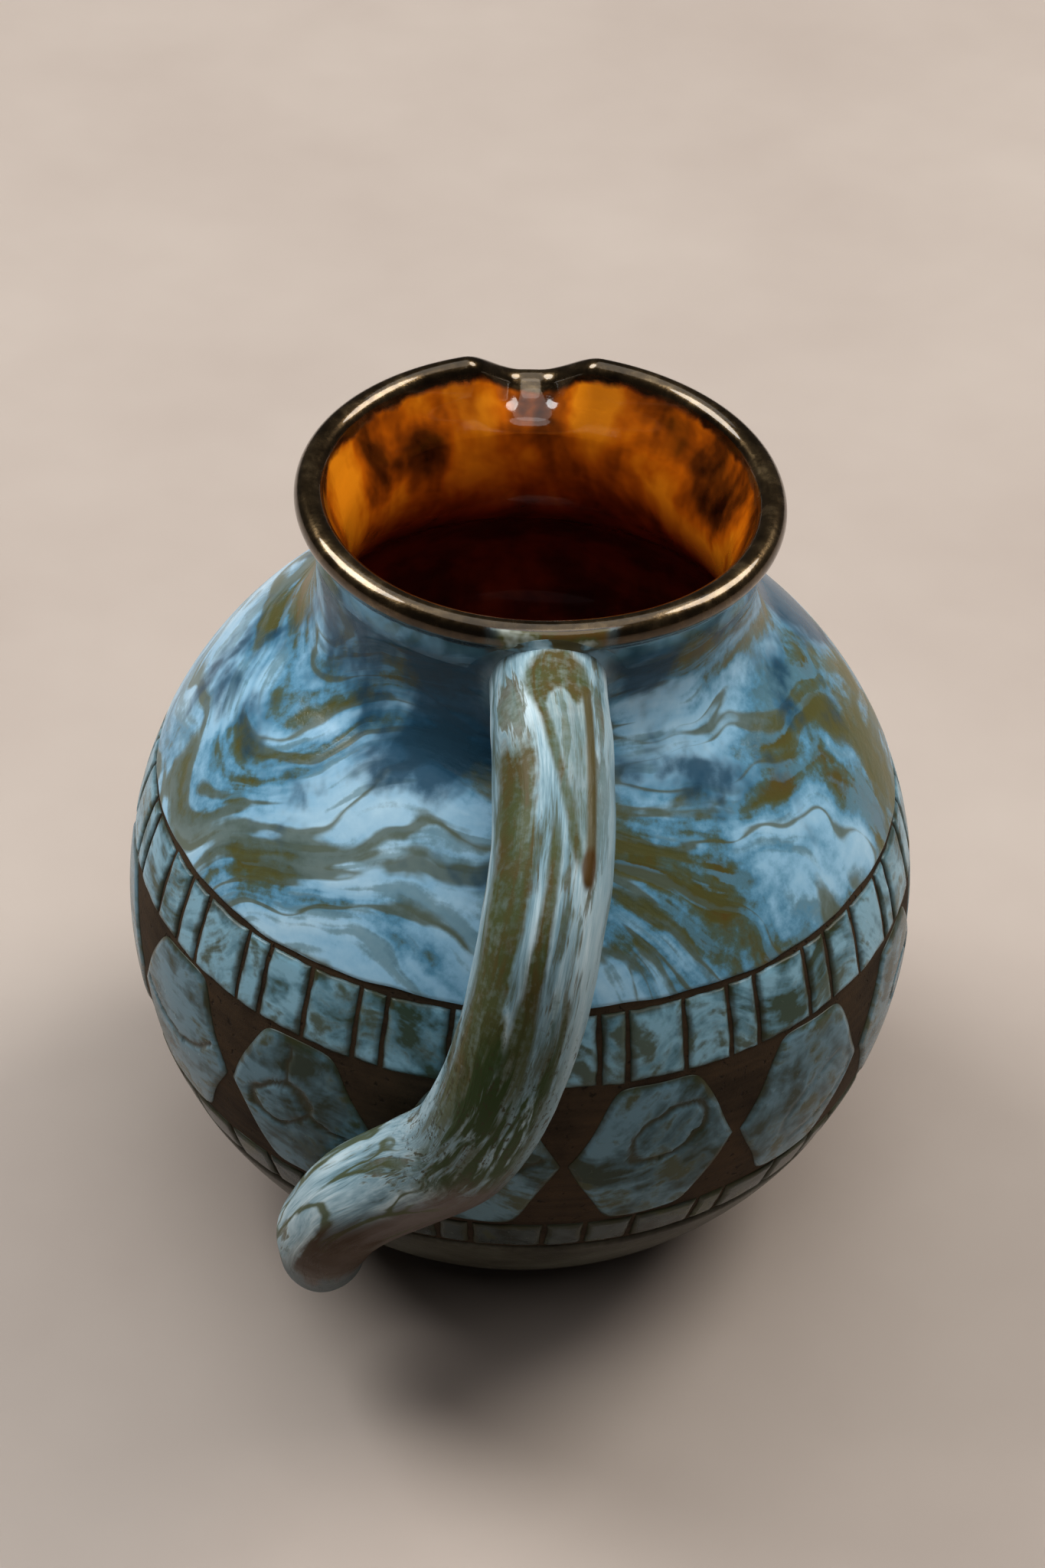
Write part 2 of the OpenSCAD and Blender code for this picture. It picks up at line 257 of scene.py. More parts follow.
def lat_below(z, radius):
    """Latitude in degrees at which a globe of some radius reaches down to a height."""
    return -math.degrees(math.asin((globe_z - z) / radius))


seat_lat = lat_below(foot_h, clay_r)
floor_lat = lat_below(floor_z, hollow_r)
floor_edge = hollow_r * math.cos(math.radians(floor_lat))
clay_top_lat = 52
globe_profile = np.vstack([
    np.linspace((pole_r, foot_h), (seat_r * 0.97, foot_h), 12),
    arc((0, globe_z), clay_r, seat_lat, clay_top_lat, 120),
    arc((0, globe_z), hollow_r, clay_top_lat, floor_lat, 90),
    np.linspace((floor_edge * 0.97, floor_z), (pole_r, floor_z), 10)])
globe = skin("clay_globe", lathe(globe_profile), bare_clay, [(0, 0, foot_h), (0, 0, floor_z)])
place_piece(globe, "bare_clay", "belly")

# The shoulder's glaze: a thick satin coat of clouded sky blue, with loose olive ribbons and fine streaks
# brushed over it. It ends below in a rounded edge, where a line was cut down to the clay.
upper_top_lat = 21.7
groove = 0.001
groove_deg = math.degrees(groove / glaze_r)
glaze_t = glaze_r - clay_r
neck_r = 0.035
neck_curve = 0.016
curve_x = neck_r + neck_curve
waist_z = globe_z + math.sqrt((glaze_r + neck_curve) ** 2 - curve_x ** 2)
seam_lat = math.degrees(math.atan2(waist_z - globe_z, curve_x))
sky_white = (0.52, 0.73, 0.86, 1)
sky_pale = (0.32, 0.55, 0.72, 1)
sky_mid = (0.135, 0.315, 0.45, 1)
slate_green = (0.105, 0.158, 0.135, 1)
olive = (0.115, 0.112, 0.040, 1)
olive_dark = (0.048, 0.047, 0.020, 1)
umber = (0.140, 0.086, 0.026, 1)
navy_and_shade = (0.017, 0.066, 0.115, 1)
fan_x, fan_z = -0.016, 0.104
glaze_relief = 0.0003


def flow_round(place):
    """How far a spot lies across the brush's path, which goes round the jug and bends as it goes."""
    slow = place.noise(13, 2)
    quick = place.shifted(0.31, 0.17, 0.05).noise(44, 2)
    return place.axis(2) + (slow - 0.5) * 0.075 + (quick - 0.5) * 0.010


def along_flow(place, across, tight, along, detail=2.5):
    """Noise drawn out along the brush's path."""
    return place.axes(across * tight, place.axis(0) * along, place.axis(1) * along).noise(1, detail)


def along_fan(place, tight, along, shift):
    """Noise drawn out along bent strokes that spread from one side of the handle."""
    aside, above = place.axis(0) - fan_x, place.axis(2) - fan_z
    far = aside.hypot(above)
    bearing = place.maths("ARCTAN2", above, aside) + far * 12 + (place.noise(30, 2) - 0.5) * 0.5
    return place.axes(bearing * tight, far * along, shift).noise(1, 2.5)


def blue_glaze(place):
    """Pale blue dabs brushed wet over olive, in strokes round the jug and a fan beside the handle."""
    across = flow_round(place)
    cloud = place.wander(34, 0.006).noise(46, 4, 0.55)
    fan = place.axis(0).step(0.0, 0.02) * (1 - place.axis(1).step(-0.012, 0.02))

    def brushed(shift, flow, spread):
        """Strokes along the path, and along the fan where the fan is."""
        strokes = along_flow(place.shifted(*shift), across, *flow)
        return strokes + (along_fan(place, *spread) - strokes) * fan

    smear = brushed((0, 0, 0), (66, 17), (4.2, 26, 0.0))
    fine = brushed((0, 0, 0), (300, 80), (14, 80, 3.0))
    grit = place.noise(520, 4, 0.65)
    tone = cloud * 0.37 + smear * 0.43 + fine * 0.20 + (grit - 0.5) * 0.09
    tone = tone - place.axis(0) * 0.32 + place.axis(1).high(0) * 0.6
    colour = tone.ramp((0.38, umber), (0.44, olive), (0.475, slate_green), (0.502, sky_mid),
                       (0.55, sky_pale), (0.65, sky_white))
    hair = brushed((0.3, 0.1, 0.2), (420, 50), (20, 50, 9.0)) + (grit - 0.5) * 0.2
    colour = (hair.step(0.53, 0.60) * (1 - tone.step(0.46, 0.51)) * 0.6).paint(colour, sky_mid)
    colour = ((1 - hair.step(0.36, 0.47)) * tone.step(0.49, 0.53) * 0.5).paint(colour, slate_green)
    deep = (cloud * 0.6 + fine * 0.4 + (grit - 0.5) * 0.3).step(0.47, 0.58) * (1 - tone.step(0.42, 0.475))
    colour = (deep * 0.85).paint(colour, umber)
    swept = brushed((0.17, 0.52, 0), (84, 22), (6, 26, 7.0))
    ribbon = 1 - (abs(swept - 0.5) + (fine - 0.5) * 0.10 + (cloud - 0.52) * 0.20).step(0.006, 0.036)
    colour = (ribbon * 0.75).paint(colour, olive)
    # Navy patches, more towards the rim: partly pooled glaze, mostly painted shade under the rim's
    # overhang.
    pool_and_shade = place.shifted(0.5, 0.2, 0.1).wander(40, 0.006).stretched(1, 1, 0.8).noise(44, 4, 0.55)
    pool_and_shade = (pool_and_shade + (place.axis(2) - waist_z) * 5 + (grit - 0.5) * 0.08).step(0.44, 0.56)
    colour = (pool_and_shade * 0.88).paint(colour, navy_and_shade)
    relief = cloud * 0.30 + fine * 0.35 + tone.step(0.42, 0.52) * 0.3
    return colour, 0.18 + grit * 0.12 + ribbon * 0.08, relief


def glossy(shader, weight=0.07, roughness=0.10, sheen=0.2):
    shader.inputs["Specular IOR Level"].default_value = sheen
    shader.inputs["Coat Weight"].default_value = weight
    shader.inputs["Coat Roughness"].default_value = roughness


shoulder_blue, shader, place = material("shoulder_blue")
dress(shader, *blue_glaze(place), glaze_relief)
glossy(shader)

edge_lat = upper_top_lat + groove_deg / 2
edge_lap = 0.0001
edge_round = 0.0009
wave_fade, wave_size = 4, 0.35


def globe_turns(points):
    """Turn and latitude of points on the globe, and their distance from its middle."""
    offset = points - globe_c
    reach = np.linalg.norm(offset, axis=-1)
    return np.arctan2(offset[..., 1], offset[..., 0]), np.arcsin(offset[..., 2] / reach), reach


def on_globe(turn, lat, reach):
    flat = reach * np.cos(lat)
    return globe_c + np.stack([flat * np.cos(turn), flat * np.sin(turn), reach * np.sin(lat)], axis=-1)


def wavy_edge(rings, low_lat, fade, size):
    """Lets the lower edge of a coat wander up and down, as a line that was cut by hand does."""
    turn, lat, reach = globe_turns(rings)
    wave = np.sin(9 * turn + 0.4) * 0.5 + np.sin(23 * turn + 2.0) * 0.3 + np.sin(41 * turn) * 0.2
    near = np.clip(1 - (np.degrees(lat) - low_lat) / fade, 0, 1)
    return on_globe(turn, lat + math.radians(size) * wave * near, reach)


edge_w = math.degrees(edge_round / glaze_r)
round_up = np.linspace(0, 1, 9)
round_r = clay_r - edge_lap + (glaze_t + edge_lap) * np.sin(round_up * math.pi / 2) ** 0.6
round_lat = np.radians(edge_lat + edge_w * round_up)
shoulder_profile = np.vstack([
    np.stack([round_r * np.cos(round_lat), globe_z + round_r * np.sin(round_lat)], axis=1),
    arc((0, globe_z), glaze_r, edge_lat + edge_w * 1.2, seam_lat, 70),
    arc((0, globe_z), clay_r - hidden_lap, seam_lat, edge_lat, 24)])
shoulder_rings = wavy_edge(lathe(shoulder_profile, 384), edge_lat, wave_fade, wave_size)
shoulder = skin("shoulder_coat", shoulder_rings, shoulder_blue, None, 55)
place_piece(shoulder, "blue_glaze", "shoulder_glaze")

# The collar: a hollow-curved neck thrown on the globe and glazed over with the same blue.
# Its navy patches are partly pooled glaze, mostly painted shade; it breaks teal and white under the rim.
rim_low, rim_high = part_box("rim")
lip_depth = 0.0105
rim_base_z = rim_low.z
jug_h = rim_base_z + lip_depth
rim_r = rim_high.x
roll_r = 0.0024
roll_x = rim_r - roll_r
roll_z = jug_h - roll_r
collar_t = glaze_r - hollow_r
flare_x = roll_x + collar_t / 2
teal_dark = (0.010, 0.055, 0.062, 1)
teal_pale = (0.13, 0.24, 0.28, 1)


def flare_r(z):
    return neck_r + (flare_x - neck_r) * ((z - waist_z) / (roll_z - waist_z)) ** 2


def crested(place, colour):
    """A glaze's colour, broken to teal and white under the rim."""
    teal = place.stretched(1, 1, 0.35).noise(75, 3, 0.5, 0.4)
    crest = (place.axis(2) - rim_base_z + (teal - 0.5) * 0.012).step(0.0005, 0.0045)
    pale = teal.ramp((0.42, teal_dark), (0.50, teal_pale), (0.60, sky_pale))
    return (crest * 0.8).paint(colour, pale)


collar_blue, shader, place = material("collar_blue")
colour, rough, relief = blue_glaze(place)
dress(shader, crested(place, colour), rough, relief, glaze_relief)
glossy(shader)

flare_z = np.linspace(waist_z, rim_base_z, 14)
collar_profile = np.vstack([
    arc((curve_x, waist_z), neck_curve, 180 + seam_lat, 180, 50),
    [(flare_r(z), z) for z in flare_z[1:]],
    [(flare_r(z) - collar_t, z) for z in flare_z[::-1]],
    arc((curve_x, waist_z), neck_curve + collar_t, 180, 180 + seam_lat, 40)[1:]])
collar = skin("collar_neck", lathe(collar_profile, 384), collar_blue, None, 35)
place_piece(collar, "blue_glaze", "collar")

# The rim: the top of the collar, rolled over, drawn up a little at the back and pinched out into a lip.
# A bronze lustre covers the roll and runs a little down both sides over the blue and the amber.
# Above the root of the handle the handle's own glaze covers the lustre.
lip_half = 0.012 / rim_r
lip_flat = 0.1
lip_out = 0.0035
lip_drop = 0.0056
rim_lift = 0.0014
liner_t = 0.0005
lustre_relief = 0.00025
lustre_dark = (0.042, 0.027, 0.012, 1)
lustre_mid = (0.085, 0.056, 0.027, 1)
lustre_pale = (0.19, 0.135, 0.072, 1)
root_pale = (0.40, 0.43, 0.38, 1)
amber_pale = (0.92, 0.33, 0.016, 1)
amber = (0.62, 0.165, 0.006, 1)
amber_burnt = (0.34, 0.085, 0.005, 1)
amber_brown = (0.120, 0.032, 0.004, 1)
amber_dark = (0.020, 0.006, 0.002, 1)
deep_shade_warm = (0.420, 0.070, 0.015, 1)
deep_shade_mid = (0.190, 0.018, 0.007, 1)
deep_shade_dark = (0.100, 0.014, 0.006, 1)


def amber_glaze(place):
    """Amber that breaks in runs from the rim, over brown, darkened below the waist by painted shade."""
    runs = place.shifted(0.2, 0.7, 0).wander(50, 0.004).stretched(1, 1, 0.3).noise(95, 3, 0.5)
    blotch = place.shifted(0.6, 0.3, 0).wander(30, 0.008).noise(60, 4, 0.55)
    tone = runs * 0.45 + blotch * 0.55
    colour = tone.ramp((0.37, amber_dark), (0.42, amber_brown), (0.47, amber_burnt), (0.515, amber),
                       (0.58, amber_pale))
    # Below the waist the colour turns oxblood: painted shade inside the pot.
    sunk = waist_z - place.axis(2) + (blotch - 0.5) * 0.02
    depth = sunk.step(0.001, 0.020)
    rough = 0.08 + runs * 0.10 + depth * 0.35
    deep = tone.ramp((0.40, deep_shade_dark), (0.50, deep_shade_mid), (0.60, deep_shade_warm))
    return (depth * 0.94).paint(colour, deep), rough, runs * 0.4 + blotch * 0.4


def smooth(t):
    t = np.clip(t, 0, 1)
    return t * t * (3 - 2 * t)


def store(piece, **values):
    for name, value in values.items():
        piece.data.attributes.new(name, "FLOAT", "POINT").data.foreach_set("value", value)


lustre_rim, shader, place = material("lustre_rim")
blue, gold = blue_glaze(place)[0], amber_glaze(place)[0]
side = place.attribute("outside")
under = side.paint(gold, crested(place, blue))
reach = place.attribute("rise") * 1000 + (place.noise(110, 4, 0.55, 0.4) - 0.5) * 4
lustre = (reach + side * 2.4).step(7.4, 8.6)
from_root = abs(place.axis(0)) + place.axis(1).step(-0.02, 0.0) + (place.noise(210, 3) - 0.5) * 0.004
root_run = (1 - from_root.step(0.0075, 0.0105)) * side
root_tone = place.shifted(0.3, 0, 0).noise(170, 3)
under = root_run.paint(under, root_tone.ramp((0.42, umber), (0.50, olive), (0.58, root_pale)))
lustre = lustre * (1 - root_run)
worn = place.noise(320, 4, 0.65)
patch = place.stretched(1, 1, 2.5).noise(90, 4, 0.6, 0.5)
metal = (patch * 0.6 + worn * 0.4).ramp((0.40, lustre_dark), (0.52, lustre_mid), (0.66, lustre_pale))
rough = lustre * (0.18 + worn * 0.16) + (1 - lustre) * 0.13
dress(shader, lustre.paint(under, metal), rough, worn * 0.35 + patch * 0.3 + lustre * 0.25, lustre_relief,
      lustre * 0.85)
glossy(shader, 0.8, 0.04)

rim_sides = 720
roll_start, roll_end = -48, 158
wall_rows, roll_rows = 12, 40
wall_gap, inner_drop, sag_depth = 0.0005, 0.0022, 0.00035
wall_top = roll_z + roll_r * math.sin(math.radians(roll_start)) - wall_gap
outer_z = np.linspace(rim_base_z, wall_top, wall_rows)
inner_z = np.linspace(roll_z - inner_drop, rim_base_z, wall_rows)
drawn_in = liner_t * smooth((inner_z[0] - inner_z) / (inner_z[0] - rim_base_z))
rim_profile = np.vstack([
    np.stack([flare_r(outer_z), outer_z], axis=1),
    arc((roll_x, roll_z), roll_r, roll_start, roll_end, roll_rows),
    np.stack([flare_r(inner_z) - collar_t - drawn_in, inner_z], axis=1)])
rings = lathe(rim_profile, rim_sides)
flat_rise = rings[..., 2] - rim_base_z
turn = np.arctan2(-rings[..., 0], rings[..., 1])
lifted = smooth(flat_rise / lip_depth)
push = smooth((1 - np.abs(turn) / lip_half) / (1 - lip_flat)) * lifted
spread = 1 + lip_out * push / np.hypot(rings[..., 0], rings[..., 1])
sag = sag_depth * (1 + np.sin(3 * turn + 1)) * (1 - np.cos(turn)) / 2
height = rings[..., 2] + lifted * (rim_lift * (1 + np.cos(turn)) / 2 - sag) - lip_drop * push
rim = skin("rolled_rim", np.stack([rings[..., 0] * spread, rings[..., 1] * spread, height], axis=2),
           lustre_rim, None, 50)
outside = np.repeat(np.arange(len(rim_profile)) < wall_rows + roll_rows // 2, rim_sides).astype(float)
store(rim, rise=flat_rise.ravel(), outside=outside)
place_piece(rim, "lustre_rim", "rim")

# The amber glaze inside: poured in and swilled round, so that it coats the collar and the whole globe.
# It is glossy and runs in streaks from the rim. Below the waist it darkens to oxblood: painted shade.
liner_amber, shader, place = material("liner_amber")
dress(shader, *amber_glaze(place), glaze_relief)
glossy(shader, 0.8, 0.04)

inner_r = hollow_r - liner_t
inner_floor_lat = lat_below(floor_z + liner_t, inner_r)
inner_floor_edge = inner_r * math.cos(math.radians(inner_floor_lat))
liner_profile = np.vstack([
    np.linspace((pole_r, floor_z), (floor_edge * 0.98, floor_z), 8),
    arc((0, globe_z), hollow_r, floor_lat, seam_lat, 60),
    arc((curve_x, waist_z), neck_curve + collar_t, 180 + seam_lat, 180, 16)[1:],
    [(flare_r(z) - collar_t, z) for z in flare_z[1:]],
    [(flare_r(z) - collar_t - liner_t, z) for z in flare_z[::-1]],
    arc((curve_x, waist_z), neck_curve + collar_t + liner_t, 180, 180 + seam_lat, 40)[1:],
    arc((0, globe_z), inner_r, seam_lat, inner_floor_lat, 110)[1:],
    np.linspace((inner_floor_edge * 0.97, floor_z + liner_t), (pole_r, floor_z + liner_t), 10)])
liner_poles = [(0, 0, floor_z), (0, 0, floor_z + liner_t)]
liner = skin("amber_liner", lathe(liner_profile, 320), liner_amber, liner_poles)
place_piece(liner, "amber_glaze", "liner_glaze")

# The handle: a pulled roll of clay, luted under the rim, arched clear of the shoulder, swept to one side
# and pressed down along the belly to a tapered tail. Its glaze runs lengthways in white, olive and brown.
handle_r = 0.00925
handle_lift = 0.0245
handle_seat = 0.0013
handle_drop = 0.0024
handle_run = 0.0075
root_sink = 0.0006
route_steps, tip_steps = 20, 14
root_z = jug_h - handle_drop - handle_r
handle_route = [
    (50, 0, 0.62, 1), (41.5, 0.5, 0.89, 1), (34, 1.8, 1, 1), (25.5, 3.5, 0.81, 1), (16.5, 6, 0.48, 1),
    (8, 9.3, 0.18, 0.99), (0.5, 15, 0, 0.97), (-7, 22.2, 0, 0.94), (-17, 27.5, 0, 0.88),
    (-29, 31.5, 0, 0.78)]
handle_white = (0.36, 0.48, 0.53, 1)
handle_snow = (0.57, 0.67, 0.70, 1)
handle_blue = (0.21, 0.32, 0.37, 1)
handle_grey = (0.110, 0.145, 0.125, 1)
handle_slate = (0.090, 0.130, 0.145, 1)
handle_olive = (0.082, 0.094, 0.040, 1)
handle_umber = (0.100, 0.078, 0.030, 1)
handle_green = (0.036, 0.062, 0.018, 1)
floor_bounce_mauve = (0.125, 0.092, 0.078, 1)
tail_brown = (0.058, 0.032, 0.014, 1)
drop_brown = (0.085, 0.044, 0.012, 1)

knots = [np.array([0, root_sink - neck_r, root_z]), np.array([0, -rim_r - handle_run, root_z])]
rolls = [handle_r, handle_r]
for lat, sweep, lift, thick in handle_route:
    reach = glaze_r - handle_seat + handle_lift * lift + handle_r * thick
    knots.append(on_globe(math.radians(-90 - sweep), math.radians(lat), reach))
    rolls.append(handle_r * thick)
knots = np.array([2 * knots[0] - knots[1], *knots, 2 * knots[-1] - knots[-2]])
path, thickness = [], []
for i in range(1, len(knots) - 2):
    a, b, c, d = knots[i - 1:i + 3]
    bend, turn_in = a - 2.5 * b + 2 * c - d / 2, 1.5 * (b - c) + (d - a) / 2
    for t in np.arange(0, 1, 1 / route_steps):
        path.append(b + t / 2 * (c - a) + t * t * bend + t ** 3 * turn_in)
        thickness.append(rolls[i - 1] + (rolls[i] - rolls[i - 1]) * t)
tail_dir = (knots[-1] - knots[-2]) / np.linalg.norm(knots[-1] - knots[-2])
for a in np.linspace(0, math.pi / 2, tip_steps)[:-1]:
    path.append(knots[-2] + rolls[-1] * math.sin(a) * tail_dir)
    thickness.append(rolls[-1] * math.cos(a))


def node_tree(name, *inputs):
    """A Geometry Nodes tree with named inputs. Gives the tree, its input wires and their identifiers."""
    tree = bpy.data.node_groups.new(name, "GeometryNodeTree")
    tree.interface.new_socket("Geometry", in_out="INPUT", socket_type="NodeSocketGeometry")
    ids = {}
    for label, kind in inputs:
        socket = tree.interface.new_socket(label, in_out="INPUT", socket_type="NodeSocket" + kind)
        ids[label] = socket.identifier
    tree.interface.new_socket("Geometry", in_out="OUTPUT", socket_type="NodeSocketGeometry")
    source = tree.nodes.new("NodeGroupInput")
    return tree, {socket.name: Wire(tree, socket) for socket in source.outputs if socket.name}, ids


def stored(geometry, name, value, kind="FLOAT"):
    return geometry.node("GeometryNodeStoreNamedAttribute", {"data_type": kind, "domain": "POINT"},
                         {0: geometry, 2: name, 3: value})


def named(wire, name, kind="FLOAT"):
    return wire.node("GeometryNodeInputNamedAttribute", {"data_type": kind}, {0: name})


def closed_tree(tree, geometry, made):
    """Ends a tree: instances made real, smooth faces and the material."""
    geometry = geometry.node("GeometryNodeRealizeInstances", None, {0: geometry})
    geometry = geometry.node("GeometryNodeSetShadeSmooth", None, {0: geometry})
    geometry = geometry.node("GeometryNodeSetMaterial", None, {0: geometry, 2: made})
    tree.links.new(geometry.socket, tree.nodes.new("NodeGroupOutput").inputs[0])


def grown(name, base, tree, ids, values):
    """A plain mesh object from what a tree makes of a base mesh."""
    source = set_down(name + "_source", base)
    modifier = source.modifiers.new("grow", "NODES")
    modifier.node_group = tree
    for label, value in values.items():
        modifier[ids[label]] = value
    graph = bpy.context.evaluated_depsgraph_get()
    mesh = bpy.data.meshes.new_from_object(source.evaluated_get(graph))
    source.modifiers.remove(modifier)
    bpy.data.objects.remove(source)
    mesh.name = name
    return set_down(name, mesh)


run_angle, run_from, run_to = math.radians(-33), 0.013, 0.0425


def run_gap(length, angle):
    """Distance from the brown run of glaze that ends in a drop on one side of the handle."""
    side = (angle - run_angle) * handle_r
    end = (length - run_to).high(run_from - length).high(0)
    return side.hypot(end)


def streaked(place, streak):
    """The handle's glaze: white and pale blue, with washes of olive and umber that ran along the roll."""
    length = streak.axis(2)
    angle = streak.maths("ARCTAN2", streak.axis(1), streak.axis(0))
    bend = streak.stretched(1, 1, 26).noise(1.1, 2)
    drawn = streak.axes(streak.axis(0) + bend * 0.9, streak.axis(1) - bend * 0.7, length * 24)
    wide = drawn.noise(1.6, 2.5)
    fine = drawn.stretched(1, 1, 0.6).noise(6, 3, 0.55)
    hairs = drawn.stretched(1, 1, 0.35).noise(30, 2, 0.6)
    cloud = place.wander(120, 0.002).noise(150, 4, 0.6)
    speck = place.noise(760, 3, 0.6)
    ragged = (fine - 0.5) * 0.7 + (cloud - 0.5) * 0.6
    tone = wide * 0.55 + fine * 0.25 + hairs * 0.20
    colour = tone.ramp((0.39, handle_grey), (0.45, handle_blue), (0.52, handle_white), (0.62, handle_snow))
    down = length + ragged * 0.012
    cap_side, cap_down = (angle + 0.1) / 0.58, (length - 0.0115) / 0.008
    cap = 1 - (cap_side * cap_side + cap_down * cap_down + ragged * 1.1).step(0.65, 1.3)
    notch_side, notch_down = (angle + 0.1) / 0.26, (length - 0.020) / 0.0055
    notch = 1 - (notch_side * notch_side + notch_down * notch_down + ragged * 0.9).step(0.4, 1.3)
    cap = cap * (1 - notch * 0.85)
    fork = angle - 0.38 + (length - run_from) * 0.82 / (run_to - run_from)
    forked = length.step(run_from - 0.005, run_from) * (1 - length.step(run_to - 0.003, run_to))
    wedge = (ragged * 0.2 - fork).step(-0.02, 0.06) * (angle + 0.60).step(-0.06, 0.02) * forked
    fork_line = (1 - (abs(fork) + ragged * 0.12).step(0.03, 0.16)) * forked
    band = (angle + ragged * 0.45).step(0.28, 0.44) * (1 - (angle + ragged * 0.4).step(1.0, 1.35))
    band = band * down.step(0.019, 0.027) * (1 - (length + ragged * 0.04).step(0.070, 0.090))
    mid_half = 0.05 + (length - 0.035).high(0) * 5
    mid = 1 - (abs(angle - 0.02) - mid_half + ragged * 0.25).step(-0.05, 0.08)
    mid = mid * down.step(0.034, 0.038) * (1 - length.step(0.062, 0.080))
    stray = (drawn.shifted(3.1, 5.2, 1.3).noise(2.2) + (hairs - 0.5) * 0.3).step(0.55, 0.63)
    washed = (cap * 1.05).high(wedge * 0.45).high(fork_line).high(band * 1.1).high(mid * 1.08)
    washed = washed.high(stray * 0.85) * (0.90 + (fine * 0.5 + speck * 0.5 - 0.5) * 1.2)
    dirt = (fine * 0.5 + cloud * 0.5).ramp((0.45, handle_olive), (0.58, handle_umber))
    colour = washed.high(0).low(1).paint(colour, dirt)
    aside = (1 - (angle + ragged * 0.5).step(-0.95, -0.5)) * down.step(0.016, 0.030)
    colour = (aside * 0.6).paint(colour, handle_blue)
    low_down = length + ragged * 0.03
    lower = low_down.step(0.054, 0.070) * (1 - low_down.step(0.094, 0.108))
    green = (1 - (abs(angle) + ragged * 0.6).step(0.60, 1.1)) * (wide * 0.4 + fine * 0.6).step(0.43, 0.53)
    colour = (green * lower).paint(colour, handle_green)
    pepper = (speck * 0.6 + hairs * 0.4).step(0.54, 0.62)
    colour = (pepper * lower * 0.9).paint(colour, olive_dark)
    tail = (length + ragged * 0.02).step(0.096, 0.108)
    dull = tail * (1 - (angle + ragged * 0.5 + (wide - 0.5) * 2).step(-0.1, 0.5))
    colour = (dull * 0.7).paint(colour, handle_slate)
    # Mauve on the lower handle's underside: painted light bounced up from the floor.
    under = (length + ragged * 0.02).step(0.086, 0.100) * (1 - (angle + ragged * 0.5).step(-0.2, 0.3))
    colour = (under * 0.9).paint(colour, floor_bounce_mauve)
    crease = abs(drawn.shifted(7.7, 2.1, 4.0).noise(1.5, 2) - 0.5) + (cloud - 0.5) * 0.06
    colour = ((1 - crease.step(0.010, 0.040)) * tail * 0.9).paint(colour, handle_olive)
    end = (length + ragged * 0.012 + (wide - 0.5) * 0.04).step(0.118, 0.128)
    end = end * (1 - (angle + ragged * 0.6).step(0.15, 0.5))
    end = end * (1 - (length + ragged * 0.01).step(0.142, 0.148))
    colour = end.paint(colour, tail_brown)
    tip = (length + ragged * 0.016 + (wide - 0.5) * 0.03).step(0.140, 0.150)
    colour = (tip * 0.85).paint(colour, handle_slate)
    run = 1 - (run_gap(length, angle) + ragged * 0.0005).step(0.0004, 0.0012)
    drop_side, drop_end = (angle - run_angle) * handle_r, (length - run_to + 0.0015) * 0.5
    drop = 1 - drop_side.hypot(drop_end).step(0.0009, 0.0016)
    colour = (drop * 0.9).paint((run * 0.92).paint(colour, handle_umber), drop_brown)
    return colour, 0.30 + speck * 0.14, tone * 0.6 + fine * 0.25 + (1 - washed) * 0.3


handle_glaze, shader, place = material("handle_glaze")
dress(shader, *streaked(place, place.attribute("streak", "Vector")), glaze_relief)
glossy(shader, 0.03, 0.15, 0.1)

tree, wires, ids = node_tree(
    "pulled_roll", ("Sides", "Int"), ("Globe centre", "Vector"), ("Seat radius", "Float"),
    ("Unevenness", "Float"), ("Drop height", "Float"))
route = wires["Geometry"].node("GeometryNodeMeshToCurve", None, {0: wires["Geometry"]})
route = stored(route, "middle", route.node("GeometryNodeInputPosition"), "FLOAT_VECTOR")
route = stored(route, "heading", route.node("GeometryNodeInputTangent"), "FLOAT_VECTOR")
route = stored(route, "along", route.node("GeometryNodeSplineParameter", output="Length"))
section = route.node("GeometryNodeCurvePrimitiveCircle", None,
                     {"Resolution": wires["Sides"], "Radius": 1.0})
roll = route.node("GeometryNodeCurveToMesh", None, {0: route, 1: section, 2: named(route, "roll"), 3: True})
spot = roll.node("GeometryNodeInputPosition")
middle, heading = named(roll, "middle", "FLOAT_VECTOR"), named(roll, "heading", "FLOAT_VECTOR")
along = named(roll, "along")
radial = middle.less(wires["Globe centre"])
out = radial.less(heading.scaled(radial.dot(heading))).unit()
aside = heading.vectors("CROSS_PRODUCT", out)
way = spot.less(middle).unit()
streak = spot.axes(way.dot(out), way.dot(aside), along)
roll = stored(roll, "streak", streak, "FLOAT_VECTOR")
angle = spot.maths("ARCTAN2", streak.axis(1), streak.axis(0))
swell = along.step(0.024, run_to)
raised = (1 - run_gap(along, angle).step(0.0, 0.0017)) * (0.25 + swell * 0.75) * wires["Drop height"]
uneven = (spot.noise(55, 2) - 0.85) * wires["Unevenness"]
from_c = spot.plus(way.scaled(uneven + raised)).less(wires["Globe centre"])
reach = from_c.length()
pressed = wires["Globe centre"].plus(from_c.scaled(reach.high(wires["Seat radius"]) / reach))
roll = roll.node("GeometryNodeSetPosition", None, {0: roll, 2: pressed})
closed_tree(tree, roll, handle_glaze)

route_mesh = bpy.data.meshes.new("handle_route")
route_mesh.from_pydata(np.array(path).tolist(), [(i, i + 1) for i in range(len(path) - 1)], [])
route_mesh.attributes.new("roll", "FLOAT", "POINT").data.foreach_set("value", thickness)
handle = grown("pulled_handle", route_mesh, tree, ids, {
    "Sides": 128, "Globe centre": globe_c.tolist(), "Seat radius": clay_r + edge_lap, "Unevenness": 0.0009,
    "Drop height": 0.00055})
place_piece(handle, "pale_glaze", "handle")
